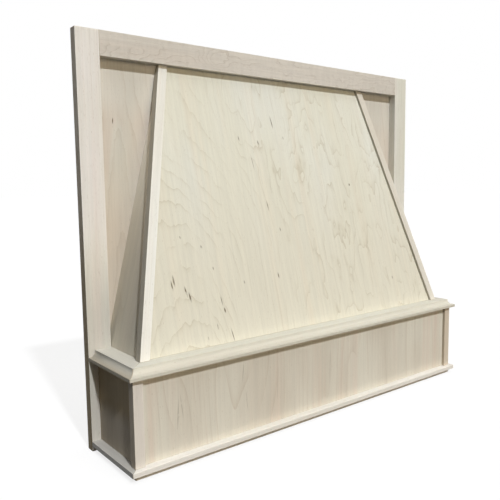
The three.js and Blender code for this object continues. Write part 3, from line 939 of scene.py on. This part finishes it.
# ---------------------------------------------------------------------------------------------------
# Cleats and glue blocks: 3/4 inch sticks of plain secondary wood, rough from the saw, glued and
# bradded in the corners inside, where only the back and the underside show them.
def sawn_wood(name, pale, deep, line):
    """Rough secondary wood straight from the saw, with the saw's marks across it and a few darker
    growth lines.
    """
    material, tree = start_material(name)
    place, shifted = board_places(tree)
    line_share = 0.4
    line_thinness = 2.0
    saw_marks_to_metre = 420.0
    mark_swing = 3.0
    broad = between(tree, blotches(tree, shifted, across=24.0, along=2.5), low=0.36, high=0.66)
    field, strength = straight_growth(lines=260.0)(tree, place, shifted)
    late_wood = step(tree, "POWER", step(tree, "FRACT", field), line_thinness)
    colour = tint(tree, broad, pale, deep)
    colour = tint(tree, step(tree, "MULTIPLY", late_wood, line_share * strength), colour, line)
    fibre = blotches(tree, shifted, across=1200.0, along=40.0, detail=3.0, rough=0.7)
    drift = step(tree, "MULTIPLY", blotches(tree, shifted, across=12.0, along=6.0), mark_swing)
    marks = step(tree, "PINGPONG", step(tree, "MULTIPLY_ADD", place[2], saw_marks_to_metre, drift), 0.5)
    colour = brighten(tree, colour, between(tree, fibre, 0.2, 0.8, start=0.88, end=1.06))
    finish(tree, colour, roughness=0.86, height=step(tree, "ADD", fibre, marks), relief=0.4 * MM)
    return material


cleat_arris = 0.7 * MM
cleat_wood = sawn_wood(
    "cleat_wood", pale=paint(206, 184, 148), deep=paint(190, 164, 124), line=paint(160, 130, 92))
cleat_end = end_grain("cleat_end_grain", pale=paint(186, 160, 122), dark=paint(140, 112, 78))
straight_cleats = {
    "liner_front_cleat": (X, Y),
    "liner_left_cleat": (Y, X),
    "liner_right_cleat": (Y, X),
    "shelf_front_nailer": (X, Y),
    "shelf_left_nailer": (Y, X),
    "shelf_right_nailer": (Y, X),
    "left_lower_corner_block": (Z, X),
    "right_lower_corner_block": (Z, X),
    "left_stile_cleat": (Z, X),
    "right_stile_cleat": (Z, X),
    "front_sill_cleat": (X, Y),
    "left_sill_cleat": (Y, X),
    "right_sill_cleat": (Y, X),
    "panel_top_cleat": (X, Y),
}
leaning_nodes = (
    "left_upper_corner_block", "left_wing_cleat", "right_upper_corner_block", "right_wing_cleat")
leaning_cleats = {node: (lean_of(node), X) for node in leaning_nodes}
for number, (node, (along, across)) in enumerate((straight_cleats | leaning_cleats).items(), start=60):
    cleat_shape = solid_of(node)
    ease_edges(cleat_shape, cleat_arris)
    cleat = make_board(
        f"{node}_stick", cleat_shape, along, across, cleat_wood, cleat_end, number=float(number))
    fit_piece(cleat, node)


# ---------------------------------------------------------------------------------------------------
# The pocket screws: zinc-plated steel, with a washer head, a square drive and a rolled thread, driven
# through the rail's pockets into the stiles, two at each end.
def zinc_plate(name):
    """Pale yellowish plating, duller where it was handled."""
    fresh_zinc = paint(206, 200, 176)
    dull_zinc = paint(170, 164, 150)
    material = bpy.data.materials.new(name)
    material.use_nodes = True
    tree = material.node_tree
    shader = tree.nodes["Principled BSDF"]
    shader.inputs["Metallic"].default_value = 1.0
    place = tree.nodes.new("ShaderNodeTexCoord").outputs["Object"]
    cloud = blotches(tree, place, across=400.0, along=400.0, detail=3.0)
    feed(tree, shader.inputs["Base Color"], tint(tree, cloud, fresh_zinc, dull_zinc))
    feed(tree, shader.inputs["Roughness"], between(tree, cloud, 0.3, 0.7, start=0.28, end=0.5))
    return material


washer_radius = 4.25 * MM
washer_edge = 0.9 * MM
washer_bevel = 0.2 * MM
pan_fillet = 0.15 * MM
pan_radius = 3.0 * MM
head_height = 2.4 * MM
shoulder_radius = 0.94 * pan_radius
shoulder_height = 0.85 * head_height
crown_radius = 0.8 * pan_radius
smooth_below = -0.1 * MM
drive_width = 2.9 * MM
drive_depth = 1.7 * MM
thread_radius = 1.95 * MM
core_radius = 1.4 * MM
thread_pitch = 1.8 * MM
thread_half_width = 0.22
thread_steps = 12
first_ring_at = 0.2
point_length = 6.0 * MM
point_width = 0.02
round_steps = 24


def screw_mesh(length):
    """A screw along Z with the underside of its head at zero and its point at minus its length."""
    def circle(height, radius_at):
        turns = [2 * math.pi * notch / round_steps for notch in range(round_steps)]
        return [Vector((radius_at(t) * math.cos(t), radius_at(t) * math.sin(t), height)) for t in turns]

    def threaded(depth):
        def radius_at(turn):
            phase = (depth / thread_pitch + turn / (2 * math.pi)) % 1.0
            ridge = max(0.0, 1.0 - abs(phase - 0.5) / thread_half_width)
            taper = min(1.0, depth / point_length)
            return (core_radius + (thread_radius - core_radius) * ridge) * max(taper, point_width)
        return circle(depth - length, radius_at)

    def square(height):
        half = drive_width / 2
        ring = []
        for notch in range(round_steps):
            turn = 2 * math.pi * notch / round_steps
            out_to = half / max(abs(math.cos(turn)), abs(math.sin(turn)))
            ring.append(Vector((out_to * math.cos(turn), out_to * math.sin(turn), height)))
        return ring

    ring_count = int(length / thread_pitch * thread_steps) + 1
    rings = [threaded(length * (notch + first_ring_at) / ring_count) for notch in range(ring_count)]
    head_outline = (
        (washer_radius - washer_bevel, 0.0),
        (washer_radius, washer_bevel),
        (washer_radius, washer_edge),
        (pan_radius, washer_edge + pan_fillet),
        (shoulder_radius, shoulder_height),
        (crown_radius, head_height),
    )
    rings += [circle(height, lambda turn, radius=radius: radius) for radius, height in head_outline]
    rings += [square(head_height), square(head_height - drive_depth)]
    bm = bmesh.new()
    skin = [[bm.verts.new(place) for place in ring] for ring in rings]
    for below, above in zip(skin, skin[1:]):
        for notch in range(round_steps):
            beside = (notch + 1) % round_steps
            bm.faces.new((below[notch], below[beside], above[beside], above[notch]))
    bm.faces.new(list(reversed(skin[0])))
    bm.faces.new(skin[-1])
    bmesh.ops.recalc_face_normals(bm, faces=bm.faces)
    for face in bm.faces:
        face.smooth = face.calc_center_median().z < smooth_below
    return bm


crown_depth = 1.5 * MM
screw_zinc = zinc_plate("screw_zinc")
for side_name, side in LEFT_AND_RIGHT:
    for level in ("lower", "upper"):
        node = f"rail_screw_{side_name}_{level}"
        points = [v.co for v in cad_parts[node].data.vertices]
        tip = max(points, key=lambda p: side * p.x)
        far = max((p - tip).length for p in points)
        crown = [p for p in points if (p - tip).length > far - crown_depth]
        crown_middle = Vector([(min(p[i] for p in crown) + max(p[i] for p in crown)) / 2 for i in range(3)])
        axis = (crown_middle - tip).normalized()
        reach = max((p - tip).dot(axis) for p in points)
        screw_shape = screw_mesh(reach - head_height)
        turned = Z.rotation_difference(axis).to_matrix().to_4x4()
        seat = tip + axis * (reach - head_height)
        screw_shape.transform(Matrix.Translation(seat) @ turned)
        metal = bpy.data.meshes.new(f"{node}_metal")
        screw_shape.to_mesh(metal)
        screw_shape.free()
        metal.materials.append(screw_zinc)
        screw = place_in_scene(f"{node}_metal", metal)
        fit_piece(screw, node)
